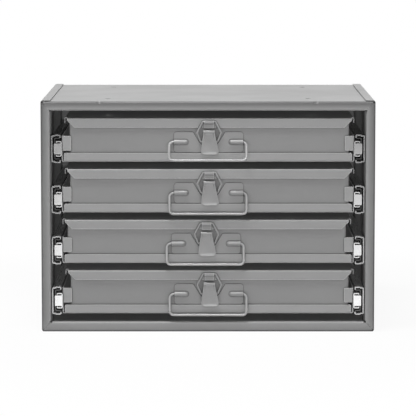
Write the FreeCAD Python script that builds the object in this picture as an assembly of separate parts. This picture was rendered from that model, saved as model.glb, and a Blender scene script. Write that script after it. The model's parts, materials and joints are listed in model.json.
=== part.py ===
import FreeCAD, Part
import math
import os

os.makedirs("parts", exist_ok=True)

Vector = FreeCAD.Vector

# All sizes are in millimetres. X is to the right, Y to the back and Z up.
# The origin is the middle of the rack's underside. Level 1 is the top drawer.

# Counts
level_count = 4
balls_per_race = 8
cross_divider_count = 2
hinge_knuckle_count = 7

# Compartment box
box_width = 324.0
box_depth = 228.4
box_height = 49.45
box_sheet = 0.9
box_corner = 2.5
side_rim = 4.6
front_rim = 1.0
lid_gap = 0.3
lid_side_play = 0.8
lid_front_play = 0.3
lid_lip_height = 10.8
lid_lip_end_room = 3.6
lid_lip_end_straight = 2.5
lid_skirt_height = 6.5
lid_skirt_start = 14.0
lid_bend = 1.5
divider_sheet = 0.8
divider_height = 40.0
divider_play = 0.3
divider_slot_play = 0.15

# Lid hinge
hinge_length = 280.0
hinge_pin_radius = 1.0
hinge_play = 0.1
knuckle_gap = 0.4
hinge_stand_off = 0.4

# Draw latch, measured up from the carrier's underside and out from the box's front face
latch_sheet = 1.0
plate_width = 80.0
plate_bottom = 11.2
plate_height = 23.3
plate_corner = 3.2
wing_shift = -0.6
notch_top_half_width = 18.8
notch_knee_half_width = 11.5
notch_knee_height = 22.6
notch_floor_half_width = 8.2
notch_floor_drop = 4.6
pivot_height = 35.0
pivot_out = 3.6
pivot_pin_radius = 0.7
pivot_play = 0.06
pivot_knuckle_radius = 1.25
lever_sheet = 0.7
lever_barrel_radius = 2.2
lever_barrel_proud = 0.8
lever_curl_end = 0.4
lever_top_width = 13.3
lever_bottom_width = 22.1
lever_length = 28.8
lever_corner = 4.4
lever_lean = 0.9
lever_knuckle_gap = 0.25
loop_eye_drop = 11.6
loop_eye_out = 2.3
loop_eye_play = 0.06
loop_ear_radius = 1.85
rib_sheet = 1.2
loop_wire_radius = 1.1
loop_length = 23.5
loop_top_half_width = 7.2
loop_waist_half_width = 14.0
loop_waist_height = 10.4
loop_foot_half_width = 9.6
loop_bend = 1.7
loop_end_gap = 0.6
keeper_width = 11.0
keeper_plate_bottom = 39.3
keeper_sheet = 0.9
keeper_front_room = 1.4
keeper_tip_height = 2.7
keeper_bend = 0.9
keeper_back_room = 0.7
keeper_seat_gap = 0.3

# Bail handle
bail_wire_radius = 1.5
bail_play = 0.15
bail_width = 89.4
bail_drop = 24.4
bail_axis_height = 23.0
bail_axis_out = 2.0
bail_top_bend = 4.8
bail_bottom_bend = 4.5
bail_shift = -0.9
tunnel_wall = 1.15
tunnel_length = 16.3
bail_hang_degrees = 8.5
top_bail_degrees = 34.5

# Drawer carrier
carrier_sheet = 1.2
carrier_wall_height = 30.1
carrier_bend = 2.0
box_side_room = 6.275
box_front_gap = 0.7
box_rear_gap = 1.5
band_height = 10.4
band_end_room = 2.65
band_corner = 2.0
stop_tab_reach = 11.0
stop_tab_bottom = 13.15
stop_tab_corner = 1.5

# Ball-bearing slide; u runs from the mounting face into the rack, v up from the slide's middle
slide_thickness = 12.0
slide_height = 32.6
slide_length = 254.0
slide_travel = 254.0
slide_middle_height = 15.1
outer_gauge = 1.2
member_gauge = 1.0
cage_gauge = 0.4
race_step = 0.8
race_start = 4.1
race_step_run = 0.8
race_bend = 1.2
outer_lip_inset = 1.4
outer_lip_height = 1.9
slide_bend = 1.0
ball_radius = 1.2
ball_play = 0.1
outer_ball_line = 6.5
inner_ball_line = 7.5
cage_hole_margin = 0.7
cage_margin = 3.5
cage_ball_inset = 6.0
head_to_cage = 0.15
cage_to_middle = 0.45
middle_to_cage = 0.35
cage_to_inner = 0.3
middle_reach_room = 0.9
middle_setback = 4.0
inner_lip_height = 1.4
front_tab_half_height = 6.1
front_tab_end = 3.15
front_tab_corner = 1.0

# Screws and rivets
screw_radius = 1.6
screw_head_radius = 3.4
screw_head_height = 1.1
screw_head_round = 0.4
screw_socket_radius = 1.3
screw_socket_depth = 0.6
screw_tail = 3.0
screw_hole_play = 0.1
rivet_radius = 1.5
rivet_head_radius = 2.8
rivet_head_height = 0.8
rivet_inset = 30.0

# Rack shell
rack_sheet = 1.2
frame_flange = 10.9
slide_inset = 1.3
frame_bend = 2.6
return_bend = 2.0
flange_return = 16.0
side_return = 2.7
corner_hole_radius = 0.85
corner_hole_inset = 1.9
sill_height = 11.7
lintel_height = 11.8
floor_room = 9.2
head_room = 8.55
top_room = 8.95
slide_setback = 3.0
band_setback = 3.3
rear_room = 41.45
relief_radius = 1.4
seam_gap = 0.3
upright_web = 24.0
upright_foot = 8.0
upright_inset = 25.0

# Top and bottom bolt holes, and the pressed marks on the front edge of the top
bolt_spacing_x = 235.0
bolt_spacing_y = 203.2
bolt_hole_radius = 3.5
dimple_spacing = 250.8
dimple_radius = 8.0
dimple_depth = 0.95

# Sideways place of each box on its carrier, from the top level down, and of the latch on its box
box_shifts = [1.55, 1.8, -1.4, 1.9]
latch_shift = -0.3

# Sizes that follow from those above
carrier_half = box_width / 2 + box_side_room + carrier_sheet
slide_face = carrier_half + slide_thickness
opening_half = slide_face + slide_inset
half_width = opening_half + frame_flange
level_pitch = carrier_sheet + box_height + head_room
lowest_level = sill_height + floor_room
opening_top = lowest_level + (level_count - 1) * level_pitch + carrier_sheet + box_height + top_room
rack_height = opening_top + lintel_height
hinge_knuckle_radius = hinge_pin_radius + hinge_play + box_sheet
hinge_reach = hinge_stand_off + 2 * hinge_knuckle_radius
box_setback = band_setback + carrier_sheet + box_front_gap
carrier_depth = carrier_sheet + box_front_gap + box_depth + hinge_reach + box_rear_gap + carrier_sheet
rack_depth = max(slide_setback + slide_length, band_setback + carrier_depth) + rear_room
half_depth = rack_depth / 2
front_plane = -half_depth
slide_front = front_plane + slide_setback
carrier_front = front_plane + band_setback
carrier_rear = carrier_front + carrier_depth
box_face = front_plane + box_setback
inner_bend = frame_bend - rack_sheet
weld_clearance = inner_bend + 0.2

lid_top = carrier_sheet + box_height
lid_underside = lid_top - box_sheet
tray_top = lid_underside - lid_gap
lid_half = box_width / 2 + side_rim + lid_side_play + box_sheet
lid_lip_half = lid_half - lid_lip_end_room
lid_lip_out = front_rim + lid_front_play + box_sheet
keeper_tip_out = lid_lip_out + keeper_back_room + 2 * loop_wire_radius + keeper_front_room + keeper_sheet
loop_eye_height = pivot_height - loop_eye_drop
loop_bar_height = loop_eye_height + loop_length
loop_bar_out = lid_lip_out + keeper_back_room + loop_wire_radius
keeper_seat = loop_bar_height - loop_wire_radius - keeper_seat_gap
tunnel_bore = bail_wire_radius + bail_play
tunnel_radius = tunnel_bore + tunnel_wall

cage_run = slide_travel / 4
cage_length = slide_length - 2 * (cage_run + cage_margin)
cage_start = cage_run + cage_margin
ball_pitch = (cage_length - 2 * cage_ball_inset) / (balls_per_race - 1)
outer_race = slide_height / 2 - outer_gauge
outer_ball_height = outer_race - ball_play - ball_radius
middle_half_height = outer_ball_height - ball_radius - ball_play
inner_ball_height = middle_half_height - member_gauge - ball_play - ball_radius
inner_half_height = inner_ball_height - ball_radius - ball_play
outer_cage_place = outer_gauge + screw_head_height + head_to_cage
middle_place = outer_cage_place + cage_gauge + cage_to_middle
inner_cage_place = middle_place + member_gauge + middle_to_cage
inner_place = inner_cage_place + cage_gauge + cage_to_inner
outer_reach = slide_thickness - outer_lip_inset
middle_reach = outer_reach - middle_reach_room
cage_hole_radius = ball_radius + ball_play


def block(x_low, x_high, y_low, y_high, z_low, z_high):
    """Plain block between two corners."""
    size = Vector(x_high - x_low, y_high - y_low, z_high - z_low)
    return Part.makeBox(size.x, size.y, size.z, Vector(x_low, y_low, z_low))


def rod(radius, start, end):
    """Round bar between two points."""
    return Part.makeCylinder(radius, (end - start).Length, start, end - start)


def prism(points, sweep):
    """Flat outline with straight sides, given a thickness."""
    outline = Part.makePolygon(points + points[:1])
    return Part.Face(outline).extrude(sweep)


def moved(shape, x=0.0, y=0.0, z=0.0):
    """Copy of a shape, carried to another place."""
    copy = shape.copy()
    copy.translate(Vector(x, y, z))
    return copy


def mirrored(shape):
    """Copy of a shape on the other side of the rack's middle plane."""
    return shape.mirror(Vector(0, 0, 0), Vector(1, 0, 0))


def edge_middle(edge):
    """Point halfway along an edge."""
    return edge.valueAt((edge.FirstParameter + edge.LastParameter) / 2)


def edges_along(shape, way, wanted):
    """Straight edges of a shape that run one way and whose middle passes a test."""
    found = []
    for edge in shape.Edges:
        if edge.Curve.TypeId != "Part::GeomLine":
            continue
        if abs(edge.tangentAt(edge.FirstParameter).dot(way)) < 0.99:
            continue
        if wanted(edge_middle(edge)):
            found.append(edge)
    return found


def centre_line(points, bends):
    """Straight runs and arcs along a bent path, as start, middle, end and the way at each end."""
    pieces = []
    start = points[0]
    for corner, following, bend in zip(points[1:-1], points[2:], bends):
        before = (corner - start).normalize()
        after = (following - corner).normalize()
        turn = before.getAngle(after)
        reach = bend * math.tan(turn / 2)
        arc_start = corner - before * reach
        arc_end = corner + after * reach
        inward = (after - before).normalize()
        arc_centre = corner + inward * (bend / math.cos(turn / 2))
        arc_middle = arc_centre - inward * bend
        pieces.append((start, None, arc_start, before, before))
        pieces.append((arc_start, arc_middle, arc_end, before, after))
        start = arc_end
    last_way = (points[-1] - start).normalize()
    pieces.append((start, None, points[-1], last_way, last_way))
    return pieces


def path_edge(start, middle, end):
    """Straight edge, or an arc where there is a middle point."""
    if middle is None:
        return Part.LineSegment(start, end).toShape()
    return Part.Arc(start, middle, end).toShape()


def bent_sheet(points, gauge, bends, sweep):
    """Sheet bent along a path, from the path's centre line, with one bend radius a corner."""
    across = Vector(sweep).normalize()
    edges = []
    ends = []
    for side in (gauge / 2, -gauge / 2):
        shifted = []
        for start, middle, end, start_way, end_way in centre_line(points, bends):
            middle_way = (start_way + end_way).normalize()
            near = start + across.cross(start_way) * side
            far = end + across.cross(end_way) * side
            halfway = None
            if middle is not None:
                halfway = middle + across.cross(middle_way) * side
            shifted.append(path_edge(near, halfway, far))
            ends.append((near, far))
        edges.extend(shifted)
    run_count = len(ends) // 2
    edges.append(Part.LineSegment(ends[0][0], ends[run_count][0]).toShape())
    edges.append(Part.LineSegment(ends[run_count - 1][1], ends[-1][1]).toShape())
    outline = Part.Wire(Part.__sortEdges__(edges))
    return Part.Face(outline).extrude(sweep)


def bent_wire(points, radius, bends):
    """Round wire bent along a flat path."""
    pieces = centre_line(points, bends)
    path = Part.Wire([path_edge(start, middle, end) for start, middle, end, _, _ in pieces])
    way = (points[1] - points[0]).normalize()
    ring = Part.Wire(Part.makeCircle(radius, points[0], way))
    return path.makePipeShell([ring], True, False)


def row_from(first, step, count):
    """Evenly spaced places along a line."""
    return [first + step * index for index in range(count)]


def level_heights():
    """Underside of each drawer's carrier, from the top level down."""
    return [lowest_level + level_pitch * (level_count - 1 - index) for index in range(level_count)]


def both_sides(shape):
    """A piece of the right side and its twin on the left."""
    return [shape, mirrored(shape)]


# Rack shell

def rounded_shell():
    """Hollow box of sheet with rounded edges, from which the wrap is cut."""
    outer = block(-half_width, half_width, -half_depth, half_depth, 0, rack_height)
    outer = outer.makeFillet(frame_bend, outer.Edges)
    inner = block(-half_width + rack_sheet, half_width - rack_sheet, -half_depth + rack_sheet,
                  half_depth - rack_sheet, rack_sheet, rack_height - rack_sheet)
    inner = inner.makeFillet(inner_bend, inner.Edges)
    return outer.cut(inner)


def corner_reliefs(height):
    """Round reliefs through the front flanges at the corners of the opening."""
    reliefs = []
    for side in (-1, 1):
        start = Vector(side * opening_half, front_plane - rack_sheet, height)
        end = Vector(side * opening_half, front_plane + 2 * rack_sheet, height)
        reliefs.append(rod(relief_radius, start, end))
    return reliefs


def mitre_seams():
    """Slits at 45 degrees where the sill flange meets the side flanges."""
    seams = []
    reach = sill_height - frame_bend
    half_gap = seam_gap / 2 * math.sqrt(2)
    for side in (-1, 1):
        inner_x = side * opening_half
        outer_x = side * (opening_half + reach)
        y = front_plane - rack_sheet
        points = [Vector(inner_x, y, sill_height + half_gap),
                  Vector(outer_x, y, sill_height - reach + half_gap),
                  Vector(outer_x, y, sill_height - reach - half_gap),
                  Vector(inner_x, y, sill_height - half_gap)]
        seams.append(prism(points, Vector(0, 2 * rack_sheet + return_bend, 0)))
    return seams


def corner_holes(height):
    """Small open corners of the folded sheet, beside the outer corners of the front."""
    holes = []
    for side in (-1, 1):
        x = side * (half_width - corner_hole_inset)
        start = Vector(x, front_plane - rack_sheet, height)
        end = Vector(x, front_plane + 2 * frame_bend, height)
        holes.append(rod(corner_hole_radius, start, end))
    return holes


def bolt_holes(z_low, z_high):
    """Four holes on the bolt rectangle."""
    holes = []
    for x in (-bolt_spacing_x / 2, bolt_spacing_x / 2):
        for y in (-bolt_spacing_y / 2, bolt_spacing_y / 2):
            holes.append(rod(bolt_hole_radius, Vector(x, y, z_low), Vector(x, y, z_high)))
    return holes


def mitre_line(gap, reach):
    """Outline of the upper corner's mitre, right side, from the opening's corner outwards."""
    run = reach - opening_half
    return [Vector(opening_half, 0, opening_top + gap), Vector(reach, 0, opening_top + run + gap)]


def top_corner_cut():
    """Room in the wrap for the top panel's flange, above the mitre and under the strip's line."""
    reach = half_width - frame_bend
    above = rack_height + rack_sheet
    outline = mitre_line(0, reach) + [Vector(reach, 0, above), Vector(0, 0, above), Vector(0, 0, opening_top)]
    shifted = [point + Vector(0, front_plane - rack_sheet, 0) for point in outline]
    front = prism(shifted, Vector(0, rack_sheet + frame_bend, 0))
    return front.fuse(front.mirror(Vector(0, 0, 0), Vector(0, 1, 0)))


def flange_edge():
    """Short return along the inner edge of the right side's front flange, and the strip it replaces."""
    half_sheet = rack_sheet / 2
    x = opening_half + half_sheet
    z_low = sill_height + relief_radius
    z_high = opening_top - relief_radius
    points = [Vector(x, front_plane + side_return, z_low), Vector(x, front_plane + half_sheet, z_low),
              Vector(opening_half + 2 * return_bend, front_plane + half_sheet, z_low)]
    edge = bent_sheet(points, rack_sheet, [return_bend - half_sheet], Vector(0, 0, z_high - z_low))
    strip = block(opening_half, opening_half + return_bend, front_plane - rack_sheet,
                  front_plane + rack_sheet, z_low, z_high)
    return edge, strip


def shell_wrap():
    """Left side, bottom and right side in one sheet, flanged at the front and back."""
    shape = rounded_shell()
    clear = rack_sheet
    shape = shape.cut(block(-opening_half, opening_half, -half_depth - clear, half_depth + clear,
                            sill_height, rack_height + clear))
    sill_half = opening_half - relief_radius
    shape = shape.cut(block(-sill_half, sill_half, front_plane - clear, front_plane + rack_sheet,
                            sill_height - return_bend, sill_height))
    half_sheet = rack_sheet / 2
    sill_points = [Vector(-sill_half, front_plane + flange_return, sill_height - half_sheet),
                   Vector(-sill_half, front_plane + half_sheet, sill_height - half_sheet),
                   Vector(-sill_half, front_plane + half_sheet, sill_height - 2 * return_bend)]
    sill = bent_sheet(sill_points, rack_sheet, [return_bend - half_sheet], Vector(2 * sill_half, 0, 0))
    edge, strip = flange_edge()
    shape = shape.cut([strip, mirrored(strip)]).fuse([sill, edge, mirrored(edge)]).removeSplitter()
    corner = top_corner_cut()
    cuts = corner_reliefs(sill_height) + corner_reliefs(opening_top) + mitre_seams()
    cuts += corner_holes(corner_hole_inset) + corner_holes(rack_height - corner_hole_inset)
    cuts += bolt_holes(-clear, 2 * rack_sheet) + [corner, mirrored(corner)]
    return shape.cut(cuts)


def top_bends():
    """Top sheet bent down at the front, with a return under the flange, and bent down at the back."""
    half_sheet = rack_sheet / 2
    surface = rack_height - rack_sheet
    reach = half_width - frame_bend - seam_gap
    return_half = opening_half - relief_radius
    front = [Vector(-reach, front_plane + half_sheet, opening_top),
             Vector(-reach, front_plane + half_sheet, surface - half_sheet),
             Vector(-reach, half_depth - half_sheet, surface - half_sheet),
             Vector(-reach, half_depth - half_sheet, opening_top)]
    bends = [frame_bend - half_sheet] * 2
    cover = bent_sheet(front, rack_sheet, bends, Vector(2 * reach, 0, 0))
    below = opening_top - rack_sheet
    outline = mitre_line(seam_gap, reach + rack_sheet)
    outline += [Vector(reach + rack_sheet, 0, below), Vector(opening_half, 0, below)]
    shifted = [point + Vector(0, -half_depth - rack_sheet, 0) for point in outline]
    corner = prism(shifted, Vector(0, rack_depth + 2 * rack_sheet, 0))
    cover = cover.cut([corner, mirrored(corner)])
    cover = cover.cut(block(-return_half, return_half, front_plane - rack_sheet, front_plane + rack_sheet,
                            opening_top - rack_sheet, opening_top + return_bend))
    turned = [Vector(-return_half, front_plane + flange_return, opening_top + half_sheet),
              Vector(-return_half, front_plane + half_sheet, opening_top + half_sheet),
              Vector(-return_half, front_plane + half_sheet, opening_top + 2 * return_bend)]
    lower = bent_sheet(turned, rack_sheet, [return_bend - half_sheet], Vector(2 * return_half, 0, 0))
    return cover.fuse(lower).removeSplitter()


def top_panel():
    """Top sheet under the wrap's strips, with a boxed front flange and a rear flange."""
    surface = rack_height - rack_sheet
    shape = top_bends()
    wing_half = half_width - rack_sheet - weld_clearance
    wing_end = half_depth - rack_sheet - weld_clearance
    shape = shape.fuse(block(-wing_half, wing_half, -wing_end, wing_end, surface - rack_sheet, surface))
    shape = shape.removeSplitter()
    cuts = corner_reliefs(opening_top) + bolt_holes(surface - 2 * rack_sheet, surface + rack_sheet)
    cuts += corner_holes(rack_height - corner_hole_inset)
    outward = Vector(0, -1, 1).normalize() * (frame_bend + dimple_radius - dimple_depth)
    for side in (-1, 1):
        bend_middle = Vector(side * dimple_spacing / 2, front_plane + frame_bend, surface - frame_bend)
        cuts.append(Part.makeSphere(dimple_radius, bend_middle + outward))
    return shape.cut(cuts)


def back_panel():
    """Sheet inside the rear flanges."""
    half = half_width - rack_sheet - weld_clearance
    outer_face = half_depth - rack_sheet
    return block(-half, half, outer_face - rack_sheet, outer_face, rack_sheet + weld_clearance,
                 rack_height - 2 * rack_sheet - weld_clearance)


def upright_places():
    """Distance of each upright's middle behind the slides' front ends."""
    return [upright_inset, slide_length - upright_inset]


def slide_uprights():
    """Hat channels on the sides' inner faces, one near each end of the slides."""
    half_sheet = rack_sheet / 2
    wall_x = half_width - rack_sheet - half_sheet
    face_x = slide_face + half_sheet
    z_low = rack_sheet + weld_clearance
    z_high = rack_height - 2 * rack_sheet - weld_clearance
    solids = []
    for place in upright_places():
        y = slide_front + place
        points = [Vector(wall_x, y - upright_web / 2 - upright_foot, z_low),
                  Vector(wall_x, y - upright_web / 2, z_low),
                  Vector(face_x, y - upright_web / 2, z_low),
                  Vector(face_x, y + upright_web / 2, z_low),
                  Vector(wall_x, y + upright_web / 2, z_low),
                  Vector(wall_x, y + upright_web / 2 + upright_foot, z_low)]
        bends = [return_bend - half_sheet] * (len(points) - 2)
        shape = bent_sheet(points, rack_sheet, bends, Vector(0, 0, z_high - z_low))
        holes = []
        for level in level_heights():
            start = Vector(slide_face - rack_sheet, y, level + slide_middle_height)
            end = start + Vector(3 * rack_sheet, 0, 0)
            holes.append(rod(screw_radius + screw_hole_play, start, end))
        solids += both_sides(shape.cut(holes))
    return solids


# Ball-bearing slides, drawn for the right side with the carrier's underside at height 0

def slide_point(u, v, t=0.0):
    """Point of the right slide, u from its mounting face, v from its middle, t from its front."""
    return Vector(slide_face - u, slide_front + t, slide_middle_height + v)


def slide_channel(half_points, gauge, bends, length, start=0.0):
    """Channel of sheet from the upper half of its section; the lower half is the same, turned over."""
    upper = [slide_point(u, v, start) for u, v in half_points]
    lower = [slide_point(u, -v, start) for u, v in reversed(half_points)]
    return bent_sheet(upper + lower, gauge, bends + bends[::-1], Vector(0, length, 0))


def slide_outer_member():
    """Outer channel with a stepped race and a lip that keeps the balls in."""
    half_gauge = outer_gauge / 2
    race = slide_height / 2 - half_gauge
    web = race - race_step
    lip = outer_reach - half_gauge
    half_points = [(lip, race + half_gauge - outer_gauge - outer_lip_height),
                   (lip, race),
                   (race_start + race_step_run / 2, race),
                   (race_start - race_step_run / 2, web),
                   (half_gauge, web)]
    bends = [slide_bend, race_bend, race_bend, slide_bend]
    shape = slide_channel(half_points, outer_gauge, bends, slide_length)
    holes = []
    for place in upright_places():
        start = slide_point(-outer_gauge, 0, place)
        end = slide_point(2 * outer_gauge, 0, place)
        holes.append(rod(screw_radius + screw_hole_play, start, end))
    return shape.cut(holes)


def slide_middle_member():
    """Intermediate channel, a little shorter at the front than the other two."""
    half_gauge = member_gauge / 2
    flange = middle_half_height - half_gauge
    web = middle_place + half_gauge
    length = slide_length - middle_setback
    return slide_channel([(middle_reach, flange), (web, flange)], member_gauge, [slide_bend], length,
                         middle_setback)


def front_tab():
    """Tab bent across the front of the slide from the inner channel's web."""
    low = slide_point(slide_thickness - member_gauge / 2, -front_tab_half_height, 0)
    high = slide_point(front_tab_end, front_tab_half_height, member_gauge)
    tab = block(low.x, high.x, low.y, high.y, low.z, high.z)
    corners = edges_along(tab, Vector(0, 1, 0), lambda middle: middle.x > high.x - member_gauge / 2)
    return tab.makeFillet(front_tab_corner, corners)


def rivet_places():
    """Distance of each rivet behind the slides' front ends."""
    return [rivet_inset, carrier_rear - slide_front - rivet_inset]


def slide_inner_member():
    """Inner channel, riveted to the carrier's wall, with curled edges and a tab at the front."""
    half_gauge = member_gauge / 2
    flange = inner_half_height - half_gauge
    lip = inner_place + half_gauge
    web = slide_thickness - half_gauge
    half_points = [(lip, flange + half_gauge - member_gauge - inner_lip_height / 2),
                   (lip, flange),
                   (web, flange)]
    bends = [inner_lip_height / 2, slide_bend]
    shape = slide_channel(half_points, member_gauge, bends, slide_length)
    shape = shape.fuse(front_tab()).removeSplitter()
    holes = [rivet_shank(place, screw_hole_play) for place in rivet_places()]
    return shape.cut(holes)


def rivet_shank(place, play=0.0):
    """Round bar through the inner channel's web and the carrier's wall."""
    start = slide_point(slide_thickness - member_gauge, 0, place)
    end = slide_point(slide_thickness + carrier_sheet, 0, place)
    return rod(rivet_radius + play, start, end)


def rivet(place):
    """Rivet with a flat head on each side."""
    inner_end = slide_point(slide_thickness - member_gauge, 0, place)
    outer_end = slide_point(slide_thickness + carrier_sheet, 0, place)
    head = Vector(rivet_head_height, 0, 0)
    heads = [rod(rivet_head_radius, inner_end, inner_end + head),
             rod(rivet_head_radius, outer_end - head, outer_end)]
    return rivet_shank(place).fuse(heads).removeSplitter()


def slide_screw(place):
    """Low-headed screw through the outer channel into an upright."""
    seat = slide_point(outer_gauge, 0, place)
    crown = slide_point(outer_gauge + screw_head_height, 0, place)
    head = rod(screw_head_radius, seat, crown)
    rims = [edge for edge in head.Edges
            if edge.Curve.TypeId == "Part::GeomCircle" and abs(edge.Curve.Center.x - crown.x) < 0.01]
    head = head.makeFillet(screw_head_round, rims)
    tail = slide_point(-rack_sheet - screw_tail, 0, place)
    shape = head.fuse(rod(screw_radius, tail, seat)).removeSplitter()
    corners = []
    for index in range(6):
        angle = math.radians(60 * index)
        offset = Vector(0, math.cos(angle), math.sin(angle)) * screw_socket_radius
        corners.append(crown + offset)
    return shape.cut(prism(corners, Vector(screw_socket_depth, 0, 0)))


def ball_places():
    """Distance of each ball behind the slides' front ends, drawer closed."""
    return row_from(cage_start + cage_ball_inset, ball_pitch, balls_per_race)


def ball_cage(place, height, ball_line):
    """Sheet cage with a row of ball holes in each flange, and the balls in them."""
    web = place + cage_gauge / 2
    reach = ball_line + cage_hole_radius + cage_hole_margin
    half_points = [(reach, height), (web, height)]
    shape = slide_channel(half_points, cage_gauge, [slide_bend], cage_length, cage_start)
    holes = []
    balls = []
    for t in ball_places():
        low = slide_point(ball_line, -height - ball_radius, t)
        high = slide_point(ball_line, height + ball_radius, t)
        holes.append(rod(cage_hole_radius, low, high))
        for side in (-1, 1):
            balls.append(Part.makeSphere(ball_radius, slide_point(ball_line, side * height, t)))
    cage = shape.cut(holes)
    solids = []
    for solid in [cage] + balls:
        solids += both_sides(solid)
    return solids


# Drawer carrier, with its underside at height 0

def drawer_carrier():
    """Sheet tray between the slides, with low bands at the ends and two stop tabs."""
    half_sheet = carrier_sheet / 2
    wall_x = carrier_half - half_sheet
    bend = carrier_bend - half_sheet
    floor_front = carrier_front + carrier_bend
    floor_rear = carrier_rear - carrier_bend
    points = [Vector(-wall_x, floor_front, carrier_wall_height), Vector(-wall_x, floor_front, half_sheet),
              Vector(wall_x, floor_front, half_sheet), Vector(wall_x, floor_front, carrier_wall_height)]
    shape = bent_sheet(points, carrier_sheet, [bend, bend], Vector(0, floor_rear - floor_front, 0))
    shape = shape.fuse([end_band(carrier_front + half_sheet, 1), end_band(carrier_rear - half_sheet, -1)])
    tab = stop_tab(wall_x, bend)
    shape = shape.fuse([tab, mirrored(tab)]).removeSplitter()
    holes = []
    for place in rivet_places():
        holes += both_sides(rivet_shank(place, screw_hole_play))
    return shape.cut(holes)


def end_band(face_y, way):
    """Low band turned up from the carrier's floor, with rounded top corners."""
    half_sheet = carrier_sheet / 2
    band_half = carrier_half - band_end_room
    points = [Vector(-band_half, face_y, band_height), Vector(-band_half, face_y, half_sheet),
              Vector(-band_half, face_y + way * 2 * carrier_bend, half_sheet)]
    shape = bent_sheet(points, carrier_sheet, [carrier_bend - half_sheet], Vector(2 * band_half, 0, 0))
    corners = edges_along(shape, Vector(0, 1, 0), lambda middle: middle.z > band_height - half_sheet)
    return shape.makeFillet(band_corner, corners)


def stop_tab(wall_x, bend):
    """Tab turned in from the front edge of the right wall, which keeps the box from sliding out."""
    half_sheet = carrier_sheet / 2
    face_y = carrier_front + half_sheet
    points = [Vector(wall_x, carrier_front + 2 * carrier_bend, stop_tab_bottom),
              Vector(wall_x, face_y, stop_tab_bottom),
              Vector(carrier_half - stop_tab_reach, face_y, stop_tab_bottom)]
    rise = carrier_wall_height - stop_tab_bottom
    shape = bent_sheet(points, carrier_sheet, [bend], Vector(0, 0, rise))
    tip = carrier_half - stop_tab_reach + half_sheet
    corners = edges_along(shape, Vector(0, 1, 0), lambda middle: middle.x < tip)
    return shape.makeFillet(stop_tab_corner, corners)


# Compartment box, with the middle of its front face at x 0 and y 0 and the carrier's underside at 0

def hinge_axis():
    """Middle of the lid hinge behind the box and its height."""
    return box_depth + hinge_stand_off + hinge_knuckle_radius, lid_top - hinge_knuckle_radius


def hinge_knuckles(first, strap_low, strap_start):
    """Every second knuckle of the hinge, each with a strap that joins it to its sheet."""
    y, z = hinge_axis()
    pitch = hinge_length / hinge_knuckle_count
    pieces = []
    for index in range(first, hinge_knuckle_count, 2):
        x_low = -hinge_length / 2 + pitch * index + knuckle_gap / 2
        x_high = x_low + pitch - knuckle_gap
        knuckle = rod(hinge_knuckle_radius, Vector(x_low, y, z), Vector(x_high, y, z))
        strap = block(x_low, x_high, strap_start, y, strap_low, strap_low + box_sheet)
        pieces.append(knuckle.fuse(strap))
    return pieces


def hinge_bore():
    """Bore through all the knuckles."""
    y, z = hinge_axis()
    reach = hinge_length / 2 + box_sheet
    return rod(hinge_pin_radius + hinge_play, Vector(-reach, y, z), Vector(reach, y, z))


def lid_hinge_pin():
    """Pin of the lid hinge."""
    y, z = hinge_axis()
    return rod(hinge_pin_radius, Vector(-hinge_length / 2, y, z), Vector(hinge_length / 2, y, z))


def box_tray():
    """Body of the box: a folded tray with an outward rim and the lower hinge knuckles."""
    half = box_width / 2
    outer = block(-half, half, 0, box_depth, carrier_sheet, tray_top + box_corner)
    outer = outer.makeFillet(box_corner, outer.Edges)
    inner = block(-half + box_sheet, half - box_sheet, box_sheet, box_depth - box_sheet,
                  carrier_sheet + box_sheet, tray_top + 2 * box_corner)
    inner = inner.makeFillet(box_corner - box_sheet, inner.Edges)
    rim_low = tray_top - box_sheet
    front_edge = block(-half + box_corner, half - box_corner, -front_rim, box_corner, rim_low, tray_top)
    side_edges = block(-half - side_rim, half + side_rim, lid_skirt_start - lid_lip_out, box_depth, rim_low,
                       tray_top)
    above = block(-2 * half, 2 * half, -box_depth, 2 * box_depth, tray_top, tray_top + 3 * box_corner)
    _, hinge_z = hinge_axis()
    strap_low = hinge_z - hinge_knuckle_radius
    knuckles = hinge_knuckles(0, strap_low, box_depth - box_sheet)
    shape = outer.cut(above).fuse([front_edge, side_edges] + knuckles).cut([inner, hinge_bore()])
    return shape.removeSplitter()


def divider_places():
    """Sideways place of each cross divider."""
    inside = box_width - 2 * box_sheet
    pitch = inside / (cross_divider_count + 1)
    return row_from(-inside / 2 + pitch, pitch, cross_divider_count)


def box_dividers():
    """One long divider and the cross dividers, slotted half and half into each other."""
    floor = carrier_sheet + box_sheet
    top = floor + divider_height
    middle = floor + divider_height / 2
    half_sheet = divider_sheet / 2
    long_reach = box_width / 2 - box_sheet - divider_play
    long_y = box_depth / 2
    slot = half_sheet + divider_slot_play
    corner = box_corner - box_sheet
    long_divider = block(-long_reach, long_reach, long_y - half_sheet, long_y + half_sheet, floor, top)
    foot = edges_along(long_divider, Vector(0, 1, 0), lambda point: point.z < middle)
    long_divider = long_divider.makeChamfer(corner, foot)
    cross_dividers = []
    for x in divider_places():
        long_divider = long_divider.cut(block(x - slot, x + slot, long_y - slot, long_y + slot, middle, top))
        cross = block(x - half_sheet, x + half_sheet, box_sheet + divider_play,
                      box_depth - box_sheet - divider_play, floor, top)
        foot = edges_along(cross, Vector(1, 0, 0), lambda point: point.z < middle)
        cross = cross.makeChamfer(corner, foot)
        cut_low = floor - slot
        cross = cross.cut(block(x - slot, x + slot, long_y - slot, long_y + slot, cut_low, middle))
        cross_dividers.append(cross)
    return [long_divider] + cross_dividers


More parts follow.
